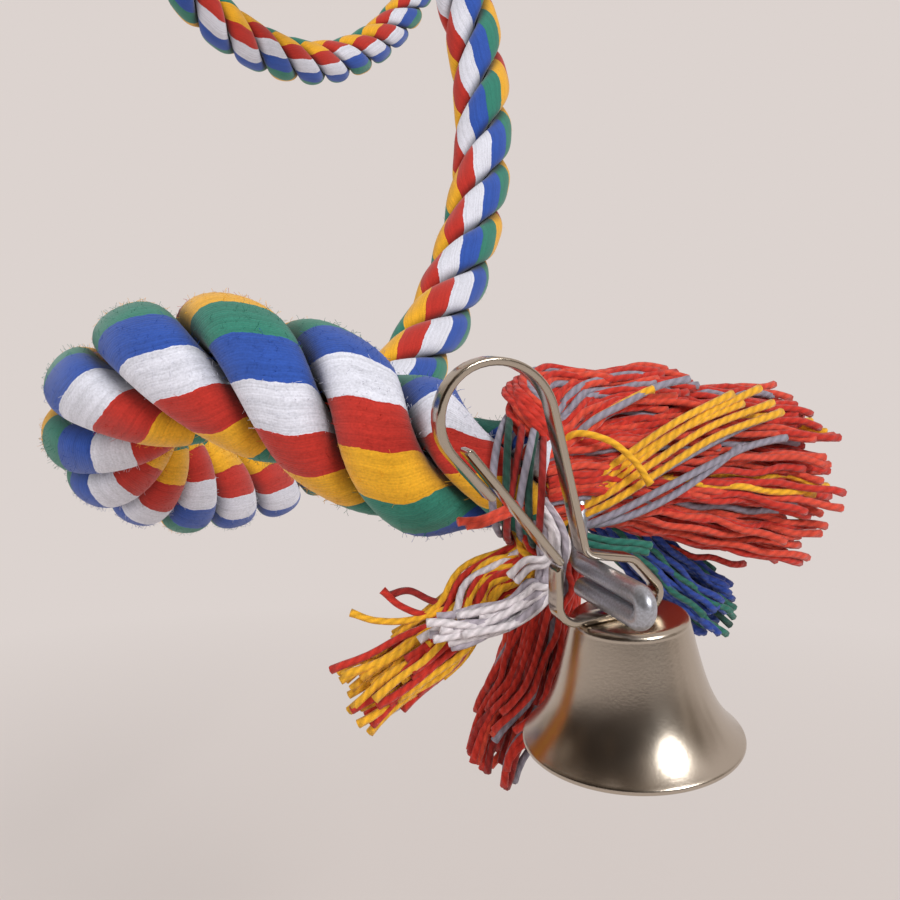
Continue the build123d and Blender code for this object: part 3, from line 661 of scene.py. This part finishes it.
# Upper tassels: the strands' upper ends, frayed like the lower ones into three bundles of cotton
# yarns that droop round the neck. One line serves all, turned round the neck in degrees: each point
# is (outward, away from the neck's middle, radius) in mm from the neck's end.
UPPER_COUNT = 70
UPPER_WAVE = 0.8
UPPER_SHORTEST = 0.75
upper_line = np.array([(-1, 3.4, 2.6), (2.8, 6.5, 2.6), (1.5, 12, 3.2), (-5, 16.5, 4.2), (-13, 19, 5)])
for colour, seed, turn, shares in (
    ("red", 31, 0, RED_SHARES), ("yellow", 32, 120, YELLOW_SHARES), ("white", 33, 240, WHITE_SHARES),
):
    side, rise = np.cos(np.radians(turn)), np.sin(np.radians(turn))
    outward, away, radius = upper_line.T
    stations = np.stack([outward, away * side, away * rise, radius], -1)
    lines = frayed_yarns(seed, stations, UPPER_COUNT, UPPER_WAVE, UPPER_SHORTEST)
    lines = neck_end(lines, upper_end, upper_out)
    mesh = yarns_mesh(f"upper_{colour}_brush", lines, drawn_colours(seed, UPPER_COUNT, shares))
    place(mesh, yarn_cotton, "perch", f"yarn_{colour}", f"upper_tassel_{colour}")

# Core wire: galvanised steel wire that runs through the rope and keeps its coil. It is bent to an eye
# at each end, which shows beyond the tassels. The clapper's wire is of the same kind.
ZINC_DARK = "#a3a4ab"
ZINC_LIGHT = "#bcbfc8"


def galvanised():
    """Zinc on steel: bluish grey metal, half dull, with small lighter and darker specks."""
    material, tree, output = surface("galvanised_wire")
    where = add(tree, "ShaderNodeTexCoord")
    speck = add(tree, "ShaderNodeTexNoise", {
        "Vector": where.outputs["Object"], "Scale": 1 / (0.25 * MM), "Detail": 3.0,
    })
    cloud = add(tree, "ShaderNodeTexNoise", {"Vector": where.outputs["Object"], "Scale": 1 / (2.5 * MM)})
    ramp = add(tree, "ShaderNodeValToRGB", {"Fac": speck.outputs["Fac"]})
    ramp.color_ramp.elements[0].position = 0.35
    ramp.color_ramp.elements[0].color = linear(ZINC_DARK)
    ramp.color_ramp.elements[1].position = 0.65
    ramp.color_ramp.elements[1].color = linear(ZINC_LIGHT)
    rough = add(tree, "ShaderNodeMath", {
        0: cloud.outputs["Fac"], 1: 0.2, 2: 0.22,
    }, operation="MULTIPLY_ADD")
    bump = add(tree, "ShaderNodeBump", {
        "Height": speck.outputs["Fac"], "Strength": 0.15, "Distance": 0.03 * MM,
    })
    zinc = add(tree, "ShaderNodeBsdfPrincipled", {
        "Base Color": ramp.outputs["Color"], "Metallic": 0.8,
        "Roughness": rough.outputs[0], "Normal": bump.outputs[0],
    })
    tree.links.new(zinc.outputs[0], output.inputs["Surface"])
    return material


def dress(material, *nodes):
    """Gives solids that stay in view their material."""
    for node in nodes:
        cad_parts[node].data.materials.clear()
        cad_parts[node].data.materials.append(material)


zinc_wire = galvanised()
dress(zinc_wire, "core_wire", "clapper_wire")

# Clips: one nickel-plated spring strip bent to a pear, with a leg, a leaf and a flat base.
# The outline is in the clip's own plane, around the rod of the bell's eye, in mm.
# The upper clip hangs on the cage bar and the lower one carries the bell.
STRIP_WIDTH = 2.4
STRIP_THICK = 0.9
STRIP_ROUND = 0.3
TAIL_END = (-13.3, 10.9)
BULB_LEFT = (-24.4, 24.4)
BULB_RIGHT = (-6.8, 25.4)
LEG_FOOT = (-2.3, 2.8)
LEAF_TOP = (3.7, 1.4)
BASE_RIGHT = (9.2, -4.9)
BASE_LEFT = (-6.0, -4.9)
GATE_PIVOT = (-5.6, 2.6)
GATE_END = (-15.4, 15.8)
ARM_TOP = (-5.67, 1.4)
FRAME_BENDS = (5.8, 7.0, 1.4, 2.0, 1.8, 2.4)
BEND_STEPS = 14
STRIP_SIDES = 32
NOSE_STEPS = 5
NOSE_SHARES = (0.98, 0.2)
GATE_STATIONS = 12
STRIP_COLOUR = "#b8ad9e"
STRIP_ROUGHNESS = 0.12
STRIP_GRAIN = 0.08
BELL_ROD = np.array([66.3837, -314.9981, -615.6528]) * MM
BELL_X = np.array([0.932207, 0.351328, 0.086943])
BELL_Z = np.array([-0.056464, -0.096109, 0.993768])
HANG_SPOT = np.array([-0.9898, 0.0, -28.8999]) * MM
HANG_LEAN = np.radians(37.38639)
HANG_X = np.array([np.cos(HANG_LEAN), 0.0, -np.sin(HANG_LEAN)])
HANG_Z = np.array([np.sin(HANG_LEAN), 0.0, np.cos(HANG_LEAN)])


def bent_route(points, bends):
    """Straight runs between points, each inner corner rounded by an arc of its own radius:
    the arc's angle goes evenly from one tangent point to the other."""
    points = np.array(points, float)
    parts = [points[:1]]
    for corner, before, after, bend in zip(points[1:-1], points[:-2], points[2:], bends):
        back_way, ahead_way = unit(before - corner), unit(after - corner)
        half = np.arccos(np.clip(back_way @ ahead_way, -1, 1)) / 2
        middle = corner + unit(back_way + ahead_way) * bend / np.sin(half)
        start = corner + back_way * bend / np.tan(half) - middle
        stop = corner + ahead_way * bend / np.tan(half) - middle
        x = np.linspace(0, 1, BEND_STEPS)[:, None]
        sweep = np.pi - 2 * half
        turned = (start * np.sin((1 - x) * sweep) + stop * np.sin(x * sweep)) / np.sin(sweep)
        parts.append(middle + turned)
    return np.concatenate(parts + [points[-1:]])


def strip_rings(route):
    """Rings of a flat strip along a route in the clip's plane: a rectangle with rounded edges,
    pinched to a round nose over the last half thickness at both ends."""
    angle = np.linspace(0, 2 * np.pi, STRIP_SIDES + 1)[:-1]
    corner = np.stack([np.cos(angle), np.sin(angle)], -1) * STRIP_ROUND
    core = np.array([STRIP_WIDTH / 2, STRIP_THICK / 2]) - STRIP_ROUND
    section = corner + np.sign(corner) * core
    ahead = unit(np.gradient(route, axis=0))
    nose = np.linspace(1, 0, NOSE_STEPS + 1)[:-1, None] * STRIP_THICK / 2
    route = np.concatenate([route[:1] - ahead[:1] * nose, route, (route[-1:] + ahead[-1:] * nose)[::-1]])
    ahead = np.concatenate([ahead[:1]] * NOSE_STEPS + [ahead] + [ahead[-1:]] * NOSE_STEPS)
    slim = np.ones(len(route))
    slim[:NOSE_STEPS] = np.sqrt(1 - np.linspace(*NOSE_SHARES, NOSE_STEPS) ** 2)
    slim[-NOSE_STEPS:] = slim[:NOSE_STEPS][::-1]
    normal = np.stack([-ahead[:, 1], ahead[:, 0]], -1)
    flat = route[:, None] + normal[:, None] * (section[:, 1:] * slim[:, None, None])
    wide = np.broadcast_to(section[:, 0], flat.shape[:2])
    return np.stack([flat[..., 0], wide, flat[..., 1]], -1)


def nickel(name, colour, roughness, grain):
    """Nickel plate: warm tinted mirror, roughened a little by fine grain and faint handling marks.
    The grain of 0.3 mm is coarser than the real polish, so that it shows."""
    material, tree, output = surface(name)
    where = add(tree, "ShaderNodeTexCoord")
    fine = add(tree, "ShaderNodeTexNoise", {
        "Vector": where.outputs["Object"], "Scale": 1 / (0.3 * MM), "Detail": 4.0,
    })
    wide = add(tree, "ShaderNodeTexNoise", {"Vector": where.outputs["Object"], "Scale": 1 / (4.0 * MM)})
    rough = add(tree, "ShaderNodeMath", {
        0: wide.outputs["Fac"], 1: 0.1, 2: roughness,
    }, operation="MULTIPLY_ADD")
    bump = add(tree, "ShaderNodeBump", {
        "Height": fine.outputs["Fac"], "Strength": grain, "Distance": 0.02 * MM,
    })
    metal = add(tree, "ShaderNodeBsdfPrincipled", {
        "Base Color": linear(colour), "Metallic": 1.0,
        "Roughness": rough.outputs[0], "Normal": bump.outputs[0],
    })
    tree.links.new(metal.outputs[0], output.inputs["Surface"])
    return material


strip_nickel = nickel("nickel_spring_strip", STRIP_COLOUR, STRIP_ROUGHNESS, STRIP_GRAIN)
frame_route = bent_route(
    [TAIL_END, BULB_LEFT, BULB_RIGHT, LEG_FOOT, LEAF_TOP, BASE_RIGHT, BASE_LEFT, ARM_TOP], FRAME_BENDS
)
gate_route = np.linspace(GATE_PIVOT, GATE_END, GATE_STATIONS)
for which, body, gate_body, spot, across, upward in (
    ("hang", "hang_clip", "hang_gate", HANG_SPOT, HANG_X, HANG_Z),
    ("bell", "bell_unit", "bell_gate", BELL_ROD, BELL_X, BELL_Z),
):
    axes = np.stack([across, np.cross(upward, across), upward])
    for part, route, rider in (("frame", frame_route, body), ("gate", gate_route, gate_body)):
        rings = spot + strip_rings(route) * MM @ axes
        run = np.linspace(0, 1, rings.shape[0])[:, None]
        uvs = np.stack(np.broadcast_arrays(np.linspace(0, 1, rings.shape[1] + 1), run), -1)
        mesh = tubes_mesh(f"{which}_clip_{part}_strip", rings[None], uvs[None])
        place(mesh, strip_nickel, rider, "nickel_strip", f"{which}_clip_{part}")

# Bell: spun from nickel-plated sheet, with a flat crown, a slow flare and a rolled lip.
# The rivet holds it to the clip's base, and the clapper hangs from the rivet's link inside.
BELL_OFFSET = 3.5
CROWN_TOP = -5.35
CROWN_RADIUS = 6.65
BELL_HEIGHT = 15.0
BELL_WALL = 0.9
CROWN_ROUND = 0.8
RIVET_HOLE = 1.1
SLOW_FLARE = 3.5
LIP_FLARE = 3.1
LIP_POWER = 4.6
BELL_SIDES = 160
WALL_STATIONS = 90
FLAT_STATIONS = 12
LIP_STATIONS = 14
INSIDE_FROM = 3
BELL_COLOUR = "#beb3a5"
BELL_ROUGHNESS = 0.19
BELL_GRAIN = 0.35


def bell_radius(depth):
    """Outer radius by depth below the crown: a straight flare, plus a high power of the depth
    for the lip."""
    share = depth / BELL_HEIGHT
    return CROWN_RADIUS + SLOW_FLARE * share + LIP_FLARE * share ** LIP_POWER


def bell_profile():
    """Radius and height round the sheet: flat crown, quarter-circle edge, flared wall, half-circle lip,
    and back inside, one wall's thickness along the wall's normal."""
    edge = np.linspace(0, np.pi / 2, FLAT_STATIONS)
    crown = np.linspace(RIVET_HOLE, CROWN_RADIUS - CROWN_ROUND, FLAT_STATIONS)
    crown = np.stack([crown, 0 * crown], -1)
    start = bell_radius(CROWN_ROUND)
    shoulder = np.stack([start - CROWN_ROUND * (1 - np.sin(edge)), -CROWN_ROUND * (1 - np.cos(edge))], -1)
    depth = np.linspace(CROWN_ROUND, BELL_HEIGHT - BELL_WALL / 2, WALL_STATIONS)
    wall = np.stack([bell_radius(depth), -depth], -1)
    ahead = unit(np.gradient(wall, axis=0))
    inside = wall + np.stack([ahead[:, 1], -ahead[:, 0]], -1) * BELL_WALL
    turn = np.linspace(0, np.pi, LIP_STATIONS)[1:-1, None]
    middle = (wall[-1] + inside[-1]) / 2
    lip = middle + (wall[-1] - middle) * np.cos(turn) + ahead[-1] * np.sin(turn) * BELL_WALL / 2
    under = np.linspace(CROWN_RADIUS - 2 * CROWN_ROUND, RIVET_HOLE, FLAT_STATIONS)
    under = np.stack([under, 0 * under - BELL_WALL], -1)
    return np.concatenate([crown, shoulder[1:], wall[1:], lip, inside[:INSIDE_FROM:-1], under])


profile = bell_profile()
bell_turn = np.linspace(0, 2 * np.pi, BELL_SIDES + 1)[:-1]
local = np.stack(np.broadcast_arrays(
    BELL_OFFSET + profile[:, :1] * np.cos(bell_turn),
    profile[:, :1] * np.sin(bell_turn),
    CROWN_TOP + profile[:, 1:],
), -1)
bell_axes = np.stack([BELL_X, np.cross(BELL_Z, BELL_X), BELL_Z])
run = np.linspace(0, 1, len(profile))[:, None]
uvs = np.stack(np.broadcast_arrays(np.linspace(0, 1, BELL_SIDES + 1), run), -1)
mesh = tubes_mesh("bell_body", (BELL_ROD + local * MM @ bell_axes)[None], uvs[None])
bell_nickel = nickel("satin_nickel_bell", BELL_COLOUR, BELL_ROUGHNESS, BELL_GRAIN)
place(mesh, bell_nickel, "bell_unit", "bell_nickel", "bell_shell")
dress(bell_nickel, "bell_rivet", "clapper_ball")

# Stage: a plain pale floor that fades into a pale backdrop, a large soft key light from the upper
# right front, and a weak fill from the left. Metal reflects the backdrop behind and above the
# object, and a dim warm room in front of it.
BACKDROP = "#dcd3cf"
FLOOR_DROP = 120.0 * MM
FLOOR_REACH = 4.0
FLOOR_SIDES = 96
FADE_MIDDLE = (0.05, -0.35)
FADE_FROM = 0.05
FADE_TO = 0.6
ROOM_BRIGHT_WAY = (0.35, 0.75, 0.55)
ROOM_UPRIGHT = (2.4, 2.4, 0.7)
ROOM_LEVELS = (0.3, 1.7)
ROOM_LIGHT = (1.0, 0.97, 0.94, 1.0)
ROOM_STRENGTH = 0.55
ROOM_COLOURS = ((0.1, "#2f261f"), (0.35, "#4c3f34"), (0.6, "#8f8378"), (0.85, BACKDROP))
floor_low = cad_low[2] - FLOOR_DROP
floor_mesh = bpy.data.meshes.new("floor")
rim = np.linspace(0, 2 * np.pi, FLOOR_SIDES + 1)[:-1]
rim_points = np.stack([FLOOR_REACH * np.cos(rim), FLOOR_REACH * np.sin(rim), 0 * rim + floor_low], -1)
floor_mesh.from_pydata(rim_points.tolist(), [], [list(range(len(rim)))])
floor = bpy.data.objects.new("floor", floor_mesh)
bpy.context.scene.collection.objects.link(floor)
floor_paint, tree, output = surface("matt_studio_floor")
where = add(tree, "ShaderNodeTexCoord")
near = (*FADE_MIDDLE, floor_low)
reach = add(tree, "ShaderNodeVectorMath", {0: where.outputs["Object"], 1: near}, operation="DISTANCE")
fade = add(tree, "ShaderNodeMapRange", {
    "Value": reach.outputs["Value"], "From Min": FADE_FROM, "From Max": FADE_TO,
})
matt = add(tree, "ShaderNodeBsdfDiffuse", {"Color": linear(BACKDROP)})
glow = add(tree, "ShaderNodeEmission", {"Color": linear(BACKDROP)})
mixed = add(tree, "ShaderNodeMixShader", {0: fade.outputs[0], 1: matt.outputs[0], 2: glow.outputs[0]})
tree.links.new(mixed.outputs[0], output.inputs["Surface"])
floor_mesh.materials.append(floor_paint)

world = bpy.data.worlds.new("soft_room")
bpy.context.scene.world = world
world.use_nodes = True
tree = world.node_tree
tree.nodes.clear()
rays = add(tree, "ShaderNodeLightPath")
where = add(tree, "ShaderNodeTexCoord")
way = where.outputs["Generated"]
height = add(tree, "ShaderNodeVectorMath", {0: way, 1: ROOM_BRIGHT_WAY}, operation="DOT_PRODUCT")
upright = add(tree, "ShaderNodeVectorMath", {0: way, 1: ROOM_UPRIGHT}, operation="MULTIPLY")
patch = add(tree, "ShaderNodeTexNoise", {"Vector": upright.outputs[0], "Scale": 1.7, "Detail": 1.0})
patchy = add(tree, "ShaderNodeMath", {
    0: patch.outputs["Fac"], 1: 1.8, 2: height.outputs["Value"],
}, operation="MULTIPLY_ADD")
level = add(tree, "ShaderNodeMapRange", {
    "Value": patchy.outputs[0], "From Min": ROOM_LEVELS[0], "From Max": ROOM_LEVELS[1],
})
room = add(tree, "ShaderNodeValToRGB", {"Fac": level.outputs[0]})
for position, colour in ROOM_COLOURS:
    element = room.color_ramp.elements.new(position)
    element.color = linear(colour)
room.color_ramp.elements.remove(room.color_ramp.elements[0])
room.color_ramp.elements.remove(room.color_ramp.elements[-1])
lighting = add(tree, "ShaderNodeBackground", {"Color": ROOM_LIGHT, "Strength": ROOM_STRENGTH})
backdrop = add(tree, "ShaderNodeBackground", {"Color": linear(BACKDROP), "Strength": 1.0})
mirrored = add(tree, "ShaderNodeBackground", {"Color": room.outputs["Color"], "Strength": 1.0})
seen = add(tree, "ShaderNodeMath", {
    0: rays.outputs["Is Camera Ray"], 1: rays.outputs["Is Transmission Ray"],
}, operation="MAXIMUM")
mixed = add(tree, "ShaderNodeMixShader", {
    0: seen.outputs[0], 1: lighting.outputs[0], 2: backdrop.outputs[0],
})
mixed = add(tree, "ShaderNodeMixShader", {
    0: rays.outputs["Is Glossy Ray"], 1: mixed.outputs[0], 2: mirrored.outputs[0],
})
add(tree, "ShaderNodeOutputWorld", {"Surface": mixed.outputs[0]})


def soft_box(name, size, power, spot, aim):
    """Round soft light at a spot, turned to face its aim."""
    lamp = bpy.data.lights.new(name, "AREA")
    lamp.shape = "DISK"
    lamp.size = size
    lamp.energy = power
    holder = bpy.data.objects.new(name, lamp)
    bpy.context.scene.collection.objects.link(holder)
    facing = unit(np.array(aim) - np.array(spot))
    across = unit(np.cross(facing, (0, 0, 1)))
    above = np.cross(across, facing)
    turned = np.eye(4)
    turned[:3, :3] = np.stack([across, above, -facing], -1)
    turned[:3, 3] = spot
    holder.matrix_world = Matrix(turned.tolist())
    return holder


perch_middle = (0.02, -0.1, -0.4)
soft_box("key_light", size=0.9, power=34.0, spot=(1.2, -1.9, 0.6), aim=perch_middle)
fill = soft_box("fill_light", size=1.6, power=11.0, spot=(-1.9, -1.3, -0.1), aim=perch_middle)
fill.visible_glossy = False

# Camera: close in front of the bell, a little above it and tilted slightly down, as the photo was
# taken. The lens is as long as the sensor is wide, for a 900 pixel frame.
CAMERA_SPOT = np.array([49.3, -414.8, -592.9]) * MM
CAMERA_DOWN = 5.0
SENSOR_WIDTH = 36.0
CLIP_START = 5 * MM
camera = bpy.data.objects.new("camera", bpy.data.cameras.new("camera"))
bpy.context.scene.collection.objects.link(camera)
camera.location = CAMERA_SPOT
camera.rotation_euler = (np.radians(90 - CAMERA_DOWN), 0, 0)
camera.data.sensor_width = SENSOR_WIDTH
camera.data.lens = SENSOR_WIDTH
camera.data.clip_start = CLIP_START
bpy.context.scene.camera = camera
bpy.context.scene.view_settings.view_transform = "Standard"
